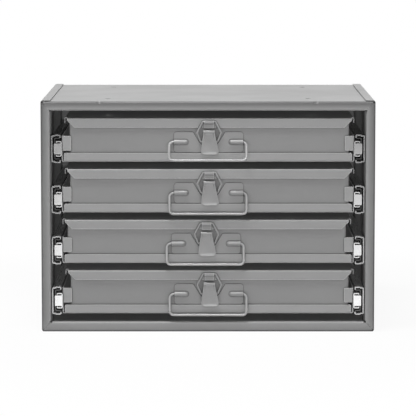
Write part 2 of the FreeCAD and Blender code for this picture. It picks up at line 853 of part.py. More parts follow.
def lid_front_lip():
    """Front lip of the lid, whose ends run down a little and are then cut at 45 degrees."""
    half_sheet = box_sheet / 2
    points = [Vector(-lid_lip_half, -lid_lip_out + 2 * lid_bend, lid_top - half_sheet),
              Vector(-lid_lip_half, -lid_lip_out + half_sheet, lid_top - half_sheet),
              Vector(-lid_lip_half, -lid_lip_out + half_sheet, lid_top - lid_lip_height)]
    lip = bent_sheet(points, box_sheet, [lid_bend - half_sheet], Vector(2 * lid_lip_half, 0, 0))
    y = -lid_lip_out - box_sheet
    low = lid_top - lid_lip_height - box_sheet
    drop = lid_top - lid_lip_end_straight - low
    corner = [Vector(lid_lip_half, y, low + drop), Vector(lid_lip_half, y, low),
              Vector(lid_lip_half - drop, y, low)]
    cut = prism(corner, Vector(0, 2 * lid_bend + box_sheet, 0))
    return lip.cut([cut, mirrored(cut)])


def lid_skirt():
    """Shallow side skirt of the lid, right side."""
    half_sheet = box_sheet / 2
    start = -lid_lip_out + lid_skirt_start
    points = [Vector(lid_half - 2 * lid_bend, start, lid_top - half_sheet),
              Vector(lid_half - half_sheet, start, lid_top - half_sheet),
              Vector(lid_half - half_sheet, start, lid_top - lid_skirt_height)]
    sweep = Vector(0, box_depth - start, 0)
    return bent_sheet(points, box_sheet, [lid_bend - half_sheet], sweep)


def box_lid():
    """Lid with its lip, skirts and upper hinge knuckles."""
    edge = lid_half - 3 * lid_bend / 2
    front = -lid_lip_out + 3 * lid_bend / 2
    plate = block(-edge, edge, -lid_lip_out + lid_skirt_start, box_depth, lid_underside, lid_top)
    nose = block(-lid_lip_half, lid_lip_half, front, box_depth / 2, lid_underside, lid_top)
    skirt = lid_skirt()
    knuckles = hinge_knuckles(1, lid_underside, box_depth - box_sheet)
    shape = plate.fuse([nose, lid_front_lip(), skirt, mirrored(skirt)] + knuckles)
    return shape.cut(hinge_bore()).removeSplitter()


def keeper():
    """Hook on the lid's lip, which the wire loop pulls down."""
    half_sheet = keeper_sheet / 2
    plate_y = -lid_lip_out - half_sheet
    tip_y = -keeper_tip_out + half_sheet
    shelf_z = keeper_seat - half_sheet
    x = -keeper_width / 2
    points = [Vector(x, plate_y, keeper_plate_bottom), Vector(x, plate_y, shelf_z),
              Vector(x, tip_y, shelf_z), Vector(x, tip_y, keeper_seat + keeper_tip_height)]
    return bent_sheet(points, keeper_sheet, [keeper_bend, keeper_bend], Vector(keeper_width, 0, 0))


def latch_pivot(side_x=0.0):
    """Point on the lever's pivot axis."""
    return Vector(side_x, -pivot_out, pivot_height)


def loop_eye(side_x=0.0):
    """Point on the axis where the loop turns in the lever."""
    return Vector(side_x, -loop_eye_out, loop_eye_height)


def knuckle_half():
    """Half length of the plate's middle knuckle, inside the lever's ribs."""
    return lever_top_width / 2 - rib_sheet - lever_knuckle_gap


def plate_outline():
    """Front outline of the latch plate, wings, notch and all."""
    top = plate_bottom + plate_height
    floor = loop_eye_height - notch_floor_drop
    points = []
    for side in (1, -1):
        outer_x = side * plate_width / 2 + wing_shift
        wing = [Vector(side * notch_floor_half_width, 0, floor),
                Vector(side * notch_knee_half_width, 0, notch_knee_height),
                Vector(side * notch_top_half_width, 0, top), Vector(outer_x, 0, top),
                Vector(outer_x, 0, plate_bottom)]
        points += wing[::side]
    return points


def bail_tunnel():
    """Raised tunnel of the right wing, over the handle's end, with a domed inner end."""
    outer_x = plate_width / 2
    inner_x = outer_x - tunnel_length
    y = -bail_axis_out
    z = bail_axis_height
    dome = Vector(inner_x + tunnel_radius, y, z)
    shape = rod(tunnel_radius, dome, Vector(outer_x, y, z))
    shape = shape.fuse([Part.makeSphere(tunnel_radius, dome),
                        block(dome.x, outer_x, y, 0, z - tunnel_radius, z + tunnel_radius),
                        rod(tunnel_radius, dome, Vector(dome.x, 0, z))])
    behind = block(inner_x, outer_x, 0, tunnel_radius, z - tunnel_radius, z + tunnel_radius)
    return shape.cut(behind).removeSplitter()


def bail_seat():
    """Hollow of the right tunnel, open to the box and at the outer end."""
    outer_x = plate_width / 2 + tunnel_wall
    inner_x = plate_width / 2 - tunnel_length + tunnel_radius
    y = -bail_axis_out
    z = bail_axis_height
    dome = Vector(inner_x, y, z)
    shape = rod(tunnel_bore, dome, Vector(outer_x, y, z))
    shape = shape.fuse([Part.makeSphere(tunnel_bore, dome),
                        block(dome.x, outer_x, y, tunnel_wall, z - tunnel_bore, z + tunnel_bore),
                        rod(tunnel_bore, dome, Vector(dome.x, tunnel_wall, z))])
    return shape.removeSplitter()


def latch_plate():
    """Plate on the box's front with the tongue that carries the lever and two handle tunnels."""
    half = plate_width / 2
    plate = prism(plate_outline(), Vector(0, -latch_sheet, 0))
    corners = edges_along(plate, Vector(0, 1, 0), lambda middle: abs(middle.x - wing_shift) > half - latch_sheet)
    plate = plate.makeFillet(plate_corner, corners)
    tunnels = [moved(tunnel, wing_shift) for tunnel in both_sides(bail_tunnel())]
    seats = [moved(seat, wing_shift) for seat in both_sides(bail_seat())]
    tongue_half = knuckle_half()
    half_sheet = latch_sheet / 2
    strap_z = pivot_height - pivot_knuckle_radius + half_sheet
    foot_z = loop_eye_height - notch_floor_drop - latch_sheet
    points = [Vector(-tongue_half, -half_sheet, foot_z), Vector(-tongue_half, -half_sheet, strap_z),
              Vector(-tongue_half, -pivot_out, strap_z)]
    tongue = bent_sheet(points, latch_sheet, [latch_sheet], Vector(2 * tongue_half, 0, 0))
    knuckle = rod(pivot_knuckle_radius, latch_pivot(-tongue_half), latch_pivot(tongue_half))
    bore = rod(pivot_pin_radius + pivot_play, latch_pivot(-half), latch_pivot(half))
    shape = plate.fuse(tunnels + [tongue, knuckle])
    return shape.cut(seats + [bore]).removeSplitter()


def lever_blade_front():
    """How far the lever's flat blade stands out from the box."""
    return pivot_out + lever_barrel_radius - lever_barrel_proud


def lever_rib():
    """Right rib behind the lever, from its pivot to the loop's eye."""
    inner_x = lever_top_width / 2 - rib_sheet
    back = -lever_blade_front() + lever_sheet / 2
    step = Vector(rib_sheet, 0, 0)
    pivot = latch_pivot(inner_x)
    eye = loop_eye(inner_x)
    outline = [Vector(inner_x, back, pivot.z), Vector(inner_x, pivot.y + lever_barrel_radius, pivot.z),
               Vector(inner_x, eye.y + loop_ear_radius, eye.z),
               Vector(inner_x, eye.y, eye.z - loop_ear_radius),
               Vector(inner_x, back, eye.z - loop_ear_radius)]
    ends = [rod(lever_barrel_radius, pivot, pivot + step), rod(loop_ear_radius, eye, eye + step)]
    return prism(outline, step).fuse(ends)


def lever_barrel():
    """Rolled top of the lever between its ribs, open towards the box."""
    half = lever_top_width / 2 - rib_sheet / 2
    roll = rod(lever_barrel_radius, latch_pivot(-half), latch_pivot(half))
    hollow = rod(lever_barrel_radius - lever_sheet, latch_pivot(-half), latch_pivot(half))
    opening = block(-half, half, -pivot_out - lever_curl_end, 0, pivot_height - 2 * lever_barrel_radius,
                    pivot_height + 2 * lever_barrel_radius)
    return roll.cut([hollow, opening])


def latch_lever():
    """Tapered lever, rolled at the top round its pivot, with two ribs behind it."""
    top = pivot_height - lever_barrel_radius + lever_sheet
    bottom = pivot_height + lever_barrel_radius - lever_length
    top_half = lever_top_width / 2
    bottom_half = lever_bottom_width / 2
    front = -lever_blade_front()
    outline = [Vector(-top_half, front, top), Vector(lever_lean - bottom_half, front, bottom),
               Vector(lever_lean + bottom_half, front, bottom), Vector(top_half, front, top)]
    blade = prism(outline, Vector(0, lever_sheet, 0))
    low_corners = edges_along(blade, Vector(0, 1, 0), lambda middle: middle.z < bottom + lever_sheet)
    blade = blade.makeFillet(lever_corner, low_corners)
    shape = blade.fuse([lever_barrel()] + both_sides(lever_rib()))
    reach = lever_bottom_width
    pin_bore = rod(pivot_pin_radius + pivot_play, latch_pivot(-reach), latch_pivot(reach))
    eye_bore = rod(loop_wire_radius + loop_eye_play, loop_eye(-reach), loop_eye(reach))
    return shape.cut([pin_bore, eye_bore]).removeSplitter()


def pivot_pin():
    """Pin that the lever turns on."""
    return rod(pivot_pin_radius, latch_pivot(-lever_top_width / 2), latch_pivot(lever_top_width / 2))


def latch_loop():
    """Six-sided wire loop, whose ends meet behind the lever."""
    foot = loop_eye()
    rise = Vector(0, loop_eye_out - loop_bar_out, loop_length)
    half_gap = loop_end_gap / 2

    def loop_point(x, share):
        return foot + rise * share + Vector(x, 0, 0)

    waist = loop_waist_height / loop_length
    points = [loop_point(half_gap, 0), loop_point(loop_foot_half_width, 0),
              loop_point(loop_waist_half_width, waist), loop_point(loop_top_half_width, 1),
              loop_point(-loop_top_half_width, 1), loop_point(-loop_waist_half_width, waist),
              loop_point(-loop_foot_half_width, 0), loop_point(-half_gap, 0)]
    return bent_wire(points, loop_wire_radius, [loop_bend] * (len(points) - 2))


def handle_bail(degrees):
    """Wire bail in its tunnels, swung out from the box by an angle."""
    half = bail_width / 2
    end_x = plate_width / 2 - tunnel_length + tunnel_radius - bail_shift
    angle = math.radians(degrees)
    drop = Vector(0, -math.sin(angle), -math.cos(angle)) * bail_drop
    axis = Vector(0, -bail_axis_out, bail_axis_height)
    right_end = axis + Vector(end_x, 0, 0)
    right_top = axis + Vector(half, 0, 0)
    left_end = axis - Vector(end_x, 0, 0)
    left_top = axis - Vector(half, 0, 0)
    points = [right_end, right_top, right_top + drop, left_top + drop, left_top, left_end]
    bends = [bail_top_bend, bail_bottom_bend, bail_bottom_bend, bail_top_bend]
    return moved(bent_wire(points, bail_wire_radius, bends), wing_shift + bail_shift)


# Each piece goes to its own file, under its own name.

def save(name, solids):
    """Write one piece, or a group of like pieces, to a file of its own."""
    shape = solids[0] if len(solids) == 1 else Part.makeCompound(solids)
    shape.exportStep(os.path.join("parts", name + ".step"))
    volume = sum(solid.Volume for solid in solids)
    valid = all(solid.isValid() for solid in solids)
    count = sum(len(solid.Solids) for solid in solids)
    print(f"{name}: {count} solids of {len(solids)}, {volume:.1f} mm3, valid {valid}")


def on_level(solids, level, shift=0.0, face=0.0):
    """Copies of pieces carried to a level, and for box pieces to the box's place."""
    return [moved(solid, shift, face, level) for solid in solids]


def save_rack():
    """The fixed pieces of the rack."""
    save("shell_wrap", [shell_wrap()])
    save("top_panel", [top_panel()])
    save("back_panel", [back_panel()])
    save("slide_uprights", slide_uprights())
    members = both_sides(slide_outer_member())
    screws = []
    for place in upright_places():
        screws += both_sides(slide_screw(place))
    outer_members = []
    slide_screws = []
    for level in level_heights():
        outer_members += on_level(members, level)
        slide_screws += on_level(screws, level)
    save("slide_outer_members", outer_members)
    save("slide_screws", slide_screws)


def save_drawers():
    """The pieces of each drawer, numbered from the top down."""
    rivets = []
    for place in rivet_places():
        rivets += both_sides(rivet(place))
    slide_pieces = {
        "slide_middle_members": both_sides(slide_middle_member()),
        "outer_ball_cages": ball_cage(outer_cage_place, outer_ball_height, outer_ball_line),
        "inner_ball_cages": ball_cage(inner_cage_place, inner_ball_height, inner_ball_line),
        "slide_inner_members": both_sides(slide_inner_member()) + rivets,
        "drawer_carrier": [drawer_carrier()],
    }
    box_pieces = {
        "box_tray": [box_tray()],
        "box_dividers": box_dividers(),
        "box_lid": [box_lid(), moved(keeper(), latch_shift)],
        "lid_hinge_pin": [lid_hinge_pin()],
    }
    latch_pieces = {
        "latch_plate": [latch_plate()],
        "latch_lever": [latch_lever(), pivot_pin()],
        "latch_loop": [latch_loop()],
    }
    for index, level in enumerate(level_heights()):
        number = index + 1
        shift = box_shifts[index]
        for name, solids in slide_pieces.items():
            save(f"{name}_{number}", on_level(solids, level))
        for name, solids in box_pieces.items():
            save(f"{name}_{number}", on_level(solids, level, shift, box_face))
        latch_middle = shift + latch_shift
        for name, solids in latch_pieces.items():
            save(f"{name}_{number}", on_level(solids, level, latch_middle, box_face))
        degrees = top_bail_degrees if index == 0 else bail_hang_degrees
        save(f"handle_bail_{number}", on_level([handle_bail(degrees)], level, latch_middle, box_face))


save_rack()
save_drawers()
print(f"rack {2 * half_width:.2f} x {rack_depth:.2f} x {rack_height:.2f} mm, level pitch {level_pitch:.2f} mm")
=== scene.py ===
"""The bearing rack's finishes, hand-made hardware, light and camera, round the fixed frame."""
import json
import math

import bmesh
import bpy
from mathutils import Matrix, Vector


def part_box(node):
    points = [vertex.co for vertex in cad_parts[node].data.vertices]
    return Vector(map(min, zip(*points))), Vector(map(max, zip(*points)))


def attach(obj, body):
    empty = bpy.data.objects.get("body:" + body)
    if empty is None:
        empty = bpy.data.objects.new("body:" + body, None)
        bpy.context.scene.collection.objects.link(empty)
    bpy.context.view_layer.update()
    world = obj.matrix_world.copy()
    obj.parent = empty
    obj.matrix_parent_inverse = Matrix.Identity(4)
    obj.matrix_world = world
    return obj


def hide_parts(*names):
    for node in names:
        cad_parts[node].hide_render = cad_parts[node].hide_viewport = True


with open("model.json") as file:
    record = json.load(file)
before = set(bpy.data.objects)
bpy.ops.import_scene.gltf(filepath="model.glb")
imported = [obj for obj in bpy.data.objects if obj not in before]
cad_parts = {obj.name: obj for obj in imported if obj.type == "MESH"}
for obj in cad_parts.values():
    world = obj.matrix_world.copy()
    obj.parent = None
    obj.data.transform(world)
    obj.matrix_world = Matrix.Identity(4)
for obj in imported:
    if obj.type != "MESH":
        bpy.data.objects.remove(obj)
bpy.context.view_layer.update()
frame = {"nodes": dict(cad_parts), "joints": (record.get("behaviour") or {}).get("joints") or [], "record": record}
rack_low, rack_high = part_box("shell_wrap")
joints = {joint["name"]: joint for joint in frame["joints"]}

MM = 0.001
LEVELS = (1, 2, 3, 4)
FRONT_PLANE = rack_low[1]

# Camera, in metres from the front plane and over the floor, and its lens in millimetres
CAMERA_DISTANCE = 3.083
CAMERA_HEIGHT = 0.491
AIM_HEIGHT = 0.1451
LENS = 231.5

# Colours as they are seen, from 0 for black to 1 for white
RACK_GREY = 0.56
CARRIER_GREY = 0.585
UPRIGHT_GREY = 0.38
BOX_GREY = 0.525
LID_GREY = 0.57
LATCH_GREY = 0.555
WIRE_GREY = 0.6
PLATE_GREY = 0.525
ZINC_GREY = 0.58
TAB_GREY = 0.78
CAGE_GREY = 0.72
SCREW_GREY = 0.76
# Painted shade of the slides' recesses and of their middle channels
PAINTED_SHADE_GREY = 0.26
BRIGHTEST = 0.97

# Enamel: steps of its seen brightness, the last three of them painted shade on the front frame,
# and what is left of it under the painted shade of crevices and deep corners
CLOUD_STEP = 0.022
SPECK_STEP = 0.05
OUTER_STEP = -0.15
TOP_STEP = -0.25
BEND_STEP = -0.26
CREVICE_SHARE = 0.55
DEEP_SHARE = 0.22

# Plating: steps of its seen brightness, the step low down being painted light, the tint of its blotches,
# and what is left of it high up under painted shade
DULL_STEP = -0.07
BRIGHT_STEP = 0.04
LOWER_STEP = 0.14
BLOTCH_TINT = 0.004
UPPER_SHARE = 0.62

# Widths over which the front frame darkens with painted shade: towards its outer edges,
# on its bend and on its top rail
FRAME_SHADE_WIDTH = 10.0 * MM
FRAME_BEND_WIDTH = 2.4 * MM
TOP_SHADE_WIDTH = 11.0 * MM

# How deep that painted shade reaches behind the front, and its strength at the frame's foot and head
FRONT_DEPTH = 2.0 * MM
FOOT_HEIGHT = 20.0 * MM
FOOT_STRENGTH = 0.6
HEAD_STRENGTH = 1.4

# Heights between which the slides' plating grows darker upwards as painted shade, and lighter
# downwards as painted light
SLIDE_SHADE_LOW = 40.0 * MM
SLIDE_SHADE_HIGH = 240.0 * MM

# Facets round a wire and along each of its bends
WIRE_SIDES = 20
BEND_STEPS = 7

# Bail of round wire: how far its turned-in ends stay from the middle, and its bends
BAIL_RADIUS = 1.5 * MM
BAIL_END = 27.4 * MM
BAIL_TOP_BEND = 4.8 * MM
BAIL_BOTTOM_BEND = 4.5 * MM

# Loop of round wire: half its width at its ends, foot, shoulder and top, and the shoulder's rise
LOOP_RADIUS = 1.1 * MM
LOOP_BEND = 1.7 * MM
LOOP_END = 0.3 * MM
LOOP_FOOT = 9.6 * MM
LOOP_SHOULDER = 14.0 * MM
LOOP_TOP = 7.2 * MM
SHOULDER_RISE = 10.4 * MM

# Lever of pressed sheet, wider and a little to the side at the bottom, with a rim round its dish
LEVER_SHEET = 0.7 * MM
LEVER_TOP_WIDTH = 13.3 * MM
LEVER_BOTTOM_WIDTH = 22.1 * MM
LEVER_LEAN = 0.9 * MM
LEVER_CORNER = 4.9 * MM
LEVER_RIM = 1.1 * MM
LEVER_SLOPE = 0.9 * MM
LEVER_DISH = 0.45 * MM

# Barrel rolled round the lever's pin, and the rib behind each edge of the lever, with its size at the
# loop's eye as a share of that at the pin
BARREL_RADIUS = 2.2 * MM
BARREL_PROUD = 0.8 * MM
BARREL_TURN = 130.0
PIN_RADIUS = 0.7 * MM
RIB_SHEET = 1.2 * MM
RIB_EYE_SHARE = 0.85

# Stage: the floor's paint, its glow beside the rack, the ring in which that turns to full white, and
# the light of the surroundings
FLOOR_PAINT = 0.86
FLOOR_GLOW = 0.93
WHITE_START = 0.35
WHITE_END = 0.7
WORLD_LIGHT = 0.07


def linear(level):
    """Seen brightness to the shader's linear scale."""
    if level <= 0.04045:
        return level / 12.92
    return ((level + 0.055) / 1.055) ** 2.4


def grey(level, warmth=0.0):
    """Neutral colour of a seen brightness, a touch warmer or cooler."""
    return (linear(level + warmth), linear(level), linear(level - warmth), 1.0)


# Node groups of the finishes

def new_group(name, inputs, outputs):
    """Shader node group with number inputs and outputs, and its two end nodes."""
    group = bpy.data.node_groups.new(name, "ShaderNodeTree")
    for label, value in inputs.items():
        socket = group.interface.new_socket(label, in_out="INPUT", socket_type="NodeSocketFloat")
        socket.default_value = value
    for label in outputs:
        group.interface.new_socket(label, in_out="OUTPUT", socket_type="NodeSocketFloat")
    start = group.nodes.new("NodeGroupInput")
    end = group.nodes.new("NodeGroupOutput")
    return group, start, end


def feed(tree, socket, value):
    """Link a node's input to another socket, or give it a plain value."""
    if isinstance(value, bpy.types.NodeSocket):
        tree.links.new(value, socket)
    else:
        socket.default_value = value


def math_node(tree, operation, first, second=0.0, clamp=False):
    """Result of a sum on sockets or plain numbers."""
    node = tree.nodes.new("ShaderNodeMath")
    node.operation = operation
    node.use_clamp = clamp
    feed(tree, node.inputs[0], first)
    feed(tree, node.inputs[1], second)
    return node.outputs[0]


def ranged(tree, value, low, high, to_low=0.0, to_high=1.0, smooth=True):
    """Value carried from one range to another, held at the ends."""
    node = tree.nodes.new("ShaderNodeMapRange")
    node.interpolation_type = "SMOOTHSTEP" if smooth else "LINEAR"
    feed(tree, node.inputs["Value"], value)
    feed(tree, node.inputs["From Min"], low)
    feed(tree, node.inputs["From Max"], high)
    feed(tree, node.inputs["To Min"], to_low)
    feed(tree, node.inputs["To Max"], to_high)
    return node.outputs["Result"]


def object_place(tree, stretch=(1.0, 1.0, 1.0)):
    """Object coordinates, stretched along the axes."""
    coordinates = tree.nodes.new("ShaderNodeTexCoord")
    mapping = tree.nodes.new("ShaderNodeMapping")
    mapping.inputs["Scale"].default_value = stretch
    tree.links.new(coordinates.outputs["Object"], mapping.inputs["Vector"])
    return mapping.outputs["Vector"]


def object_axes(tree):
    """Object coordinates along X, Y and Z, each by itself."""
    coordinates = tree.nodes.new("ShaderNodeTexCoord")
    axes = tree.nodes.new("ShaderNodeSeparateXYZ")
    tree.links.new(coordinates.outputs["Object"], axes.inputs["Vector"])
    return axes.outputs["X"], axes.outputs["Y"], axes.outputs["Z"]


def noise(tree, place, scale, detail, roughness):
    """Noise texture's value."""
    node = tree.nodes.new("ShaderNodeTexNoise")
    node.inputs["Detail"].default_value = detail
    node.inputs["Roughness"].default_value = roughness
    feed(tree, node.inputs["Vector"], place)
    feed(tree, node.inputs["Scale"], scale)
    return node.outputs["Fac"]


def open_air(tree, reach):
    """How open the surface is within a reach, from 0 to 1."""
    node = tree.nodes.new("ShaderNodeAmbientOcclusion")
    node.samples = 8
    tree.links.new(reach, node.inputs["Distance"])
    return node.outputs["AO"]


def make_edge_group():
    """Mask of the sharp edges, broken up a little, from the surface's own shape, for a painted highlight."""
    group, start, end = new_group("sheet_edge", {"Radius": 0.6 * MM, "Break Up": 0.4}, ["Edge"])
    rounded = group.nodes.new("ShaderNodeBevel")
    rounded.samples = 6
    group.links.new(start.outputs["Radius"], rounded.inputs["Radius"])
    plain = group.nodes.new("ShaderNodeNewGeometry")
    alike = group.nodes.new("ShaderNodeVectorMath")
    alike.operation = "DOT_PRODUCT"
    group.links.new(rounded.outputs["Normal"], alike.inputs[0])
    group.links.new(plain.outputs["Normal"], alike.inputs[1])
    turned = ranged(group, alike.outputs["Value"], 0.99, 0.86)
    speckle = noise(group, object_place(group), scale=420.0, detail=4.0, roughness=0.6)
    lost = math_node(group, "MULTIPLY", speckle, start.outputs["Break Up"])
    kept = math_node(group, "SUBTRACT", 1.0, lost)
    group.links.new(math_node(group, "MULTIPLY", turned, kept, clamp=True), end.inputs["Edge"])
    return group


def make_peel_group():
    """Orange peel of baked enamel, its broad unevenness and the specks in it."""
    group, start, end = new_group("enamel_peel", {"Peel Size": 900.0, "Cloud Size": 9.0},
                                  ["Peel", "Cloud", "Speck"])
    place = object_place(group)
    peel = noise(group, place, start.outputs["Peel Size"], detail=2.0, roughness=0.45)
    cloud = noise(group, place, start.outputs["Cloud Size"], detail=4.0, roughness=0.55)
    fine = noise(group, place, scale=2600.0, detail=1.0, roughness=0.5)
    group.links.new(peel, end.inputs["Peel"])
    group.links.new(cloud, end.inputs["Cloud"])
    group.links.new(ranged(group, fine, 0.66, 0.78), end.inputs["Speck"])
    return group


def make_crevice_group():
    """Painted shade: masks of corners and of the foot of every step, and of the darkest corners."""
    group, start, end = new_group("crevice", {"Reach": 7.0 * MM, "Foot": 1.8 * MM, "Depth": 1.0},
                                  ["Crevice", "Deep"])
    around = open_air(group, start.outputs["Reach"])
    corner = ranged(group, around, 0.95, 0.35)
    foot = ranged(group, open_air(group, start.outputs["Foot"]), 0.93, 0.55)
    both = math_node(group, "ADD", math_node(group, "MULTIPLY", corner, 0.5), foot, clamp=True)
    crevice_shade = math_node(group, "MULTIPLY", both, start.outputs["Depth"], clamp=True)
    group.links.new(crevice_shade, end.inputs["Crevice"])
    group.links.new(ranged(group, around, 0.42, 0.22), end.inputs["Deep"])
    return group


def make_frame_shade_group():
    """Masks of painted shade on the front frame, 1 on its outer edge: its outer part, its outer bend
    and its top rail.
    """
    group, start, end = new_group("frame_shade", {"Width": FRAME_SHADE_WIDTH, "Bend": FRAME_BEND_WIDTH},
                                  ["Outer", "Bend", "Top"])
    x, y, z = object_axes(group)
    middle = (rack_low[2] + rack_high[2]) / 2
    from_side = math_node(group, "SUBTRACT", rack_high[0], math_node(group, "ABSOLUTE", x))
    height = math_node(group, "ABSOLUTE", math_node(group, "SUBTRACT", z, middle))
    from_end = math_node(group, "SUBTRACT", rack_high[2] - middle, height)
    nearest = math_node(group, "MINIMUM", from_side, from_end)
    front = ranged(group, y, FRONT_PLANE + FRONT_DEPTH, FRONT_PLANE + 2 * FRONT_DEPTH, 1.0, 0.0)
    outer = ranged(group, nearest, 0.0, start.outputs["Width"], 1.0, 0.0, smooth=False)
    foot = ranged(group, z, rack_low[2] + FOOT_HEIGHT / 4, rack_low[2] + FOOT_HEIGHT, FOOT_STRENGTH, 1.0)
    head = ranged(group, z, middle, rack_high[2], 1.0, HEAD_STRENGTH)
    outer = math_node(group, "MULTIPLY", outer, math_node(group, "MULTIPLY", foot, head), clamp=True)
    bend = ranged(group, nearest, FRAME_BEND_WIDTH / 6, start.outputs["Bend"], 1.0, 0.0)
    rise = ranged(group, z, rack_high[2] - TOP_SHADE_WIDTH, rack_high[2], smooth=False)
    top = math_node(group, "MULTIPLY", rise, rise)
    for label, mask in (("Outer", outer), ("Bend", bend), ("Top", top)):
        group.links.new(math_node(group, "MULTIPLY", mask, front), end.inputs[label])
    return group


def make_strip_group():
    """Rolling lines along a slide's length, the blotches of its plating, and masks of its upper and lower
    part for painted shade and painted light.
    """
    group, start, end = new_group("rolled_strip", {"Line Size": 2200.0, "Blotch Size": 70.0},
                                  ["Line", "Blotch", "Upper", "Lower"])
    _, _, z = object_axes(group)
    middle = (SLIDE_SHADE_LOW + SLIDE_SHADE_HIGH) / 2
    upper = ranged(group, z, middle, SLIDE_SHADE_HIGH, smooth=False)
    lower = ranged(group, z, SLIDE_SHADE_LOW, middle, 1.0, 0.0, smooth=False)
    along = object_place(group, (1.0, 0.012, 1.0))
    line = noise(group, along, start.outputs["Line Size"], detail=3.0, roughness=0.6)
    blotch = noise(group, object_place(group), start.outputs["Blotch Size"], detail=5.0, roughness=0.6)
    for label, value in (("Line", line), ("Blotch", blotch), ("Upper", upper), ("Lower", lower)):
        group.links.new(value, end.inputs[label])
    return group


EDGE = make_edge_group()
PEEL = make_peel_group()
CREVICE = make_crevice_group()
FRAME_SHADE = make_frame_shade_group()
STRIP = make_strip_group()


# Finishes

def new_material(name, roughness, metallic):
    """Material, its node tree and its shader."""
    material = bpy.data.materials.new(name)
    material.use_nodes = True
    shader = material.node_tree.nodes["Principled BSDF"]
    shader.inputs["Roughness"].default_value = roughness
    shader.inputs["Metallic"].default_value = metallic
    return material, material.node_tree, shader


def placed(tree, group, **values):
    """A node group in a material, with its own values."""
    node = tree.nodes.new("ShaderNodeGroup")
    node.node_tree = group
    for label, value in values.items():
        node.inputs[label.replace("_", " ")].default_value = value
    return node


def mixed(tree, share, low, high):
    """Colour between two colours or sockets."""
    node = tree.nodes.new("ShaderNodeMix")
    node.data_type = "RGBA"
    feed(tree, node.inputs[0], share)
    feed(tree, node.inputs[6], low)
    feed(tree, node.inputs[7], high)
    return node.outputs[2]


def bumped(tree, shader, height, distance, strength):
    """Fine relief on the surface."""
    bump = tree.nodes.new("ShaderNodeBump")
    bump.inputs["Distance"].default_value = distance
    bump.inputs["Strength"].default_value = strength
    tree.links.new(height, bump.inputs["Height"])
    tree.links.new(bump.outputs["Normal"], shader.inputs["Normal"])


def enamel(name, level, roughness=0.42, edge_highlight=0.09, edge_radius=0.7 * MM, painted_frame_shade=False, coat=0.0):
    """Grey baked enamel: uneven tone, a painted highlight on sheet edges, painted shade in crevices
    and, if asked, on the front frame, with fine orange peel.
    """
    material, tree, shader = new_material(name, roughness, 0.0)
    shader.inputs["Specular IOR Level"].default_value = 0.45
    shader.inputs["Coat Weight"].default_value = coat
    shader.inputs["Coat Roughness"].default_value = 0.16
    peel = placed(tree, PEEL)
    edge = placed(tree, EDGE, Radius=edge_radius, Break_Up=0.35)
    shade = mixed(tree, peel.outputs["Cloud"], grey(level - CLOUD_STEP), grey(level + CLOUD_STEP))
    shade = mixed(tree, peel.outputs["Speck"], shade, grey(level + SPECK_STEP))
    # Painted highlight on sheet edges
    shade = mixed(tree, edge.outputs["Edge"], shade, grey(level + edge_highlight))
    # Painted shade on the front frame: towards its outer edges, on its outer bend and on its top rail
    if painted_frame_shade:
        front = placed(tree, FRAME_SHADE)
        for mask, step in (("Outer", OUTER_STEP), ("Top", TOP_STEP), ("Bend", BEND_STEP)):
            shade = mixed(tree, front.outputs[mask], shade, grey(level + step))
    # Painted shade in corners and at the foot of steps, and painted deep shadow in the darkest corners
    crevice = placed(tree, CREVICE, Depth=0.9)
    shade = mixed(tree, crevice.outputs["Crevice"], shade, grey(level * CREVICE_SHARE))
    shade = mixed(tree, crevice.outputs["Deep"], shade, grey(level * DEEP_SHARE))
    tree.links.new(shade, shader.inputs["Base Color"])
    gloss = ranged(tree, peel.outputs["Cloud"], 0.3, 0.7, roughness - 0.05, roughness + 0.06)
    tree.links.new(gloss, shader.inputs["Roughness"])
    bumped(tree, shader, peel.outputs["Peel"], distance=0.05 * MM, strength=0.5)
    return material


def zinc_plate(name, level, roughness=0.3, edge_highlight=0.16, metallic=0.72, crevice_shade=0.85):
    """Clear zinc plating over rolled strip: blotched, with painted shade high up, where less light comes,
    painted light low down, a painted highlight on edges and painted shade in crevices.
    """
    material, tree, shader = new_material(name, roughness, metallic)
    strip = placed(tree, STRIP)
    edge = placed(tree, EDGE, Radius=0.6 * MM, Break_Up=0.2)
    shade = mixed(tree, strip.outputs["Blotch"], grey(level + DULL_STEP, BLOTCH_TINT),
                  grey(level + BRIGHT_STEP, -BLOTCH_TINT))
    # Painted shade high up and painted light low down
    shade = mixed(tree, strip.outputs["Upper"], shade, grey(level * UPPER_SHARE))
    shade = mixed(tree, strip.outputs["Lower"], shade, grey(min(level + LOWER_STEP, BRIGHTEST)))
    # Painted highlight on sheet edges
    shade = mixed(tree, edge.outputs["Edge"], shade, grey(min(level + edge_highlight, BRIGHTEST)))
    # Painted shade in the slides' corners and recesses
    crevice = placed(tree, CREVICE, Reach=5.0 * MM, Foot=2.0 * MM, Depth=crevice_shade)
    shade = mixed(tree, crevice.outputs["Crevice"], shade, grey(PAINTED_SHADE_GREY))
    tree.links.new(shade, shader.inputs["Base Color"])
    gloss = ranged(tree, strip.outputs["Line"], 0.3, 0.7, roughness - 0.08, roughness + 0.12)
    tree.links.new(gloss, shader.inputs["Roughness"])
    bumped(tree, shader, strip.outputs["Line"], distance=0.03 * MM, strength=0.6)
    return material


FINISHES = {
    "rack_paint": enamel("rack_enamel", RACK_GREY, edge_highlight=0.12, edge_radius=1.0 * MM, painted_frame_shade=True),
    "carrier_paint": enamel("carrier_enamel", CARRIER_GREY, edge_highlight=0.2, edge_radius=1.4 * MM),
    "box_paint": enamel("box_enamel", BOX_GREY, edge_highlight=0.14, edge_radius=1.2 * MM),
    "latch_paint": enamel("latch_enamel", LATCH_GREY, roughness=0.32, edge_highlight=0.13,
                          edge_radius=0.6 * MM, coat=0.7),
    "zinc_plate": zinc_plate("zinc_plating", ZINC_GREY),
    "cage_steel": zinc_plate("bright_cage_steel", CAGE_GREY, roughness=0.22),
    "screw_steel": zinc_plate("screw_zinc", SCREW_GREY, roughness=0.28),
}
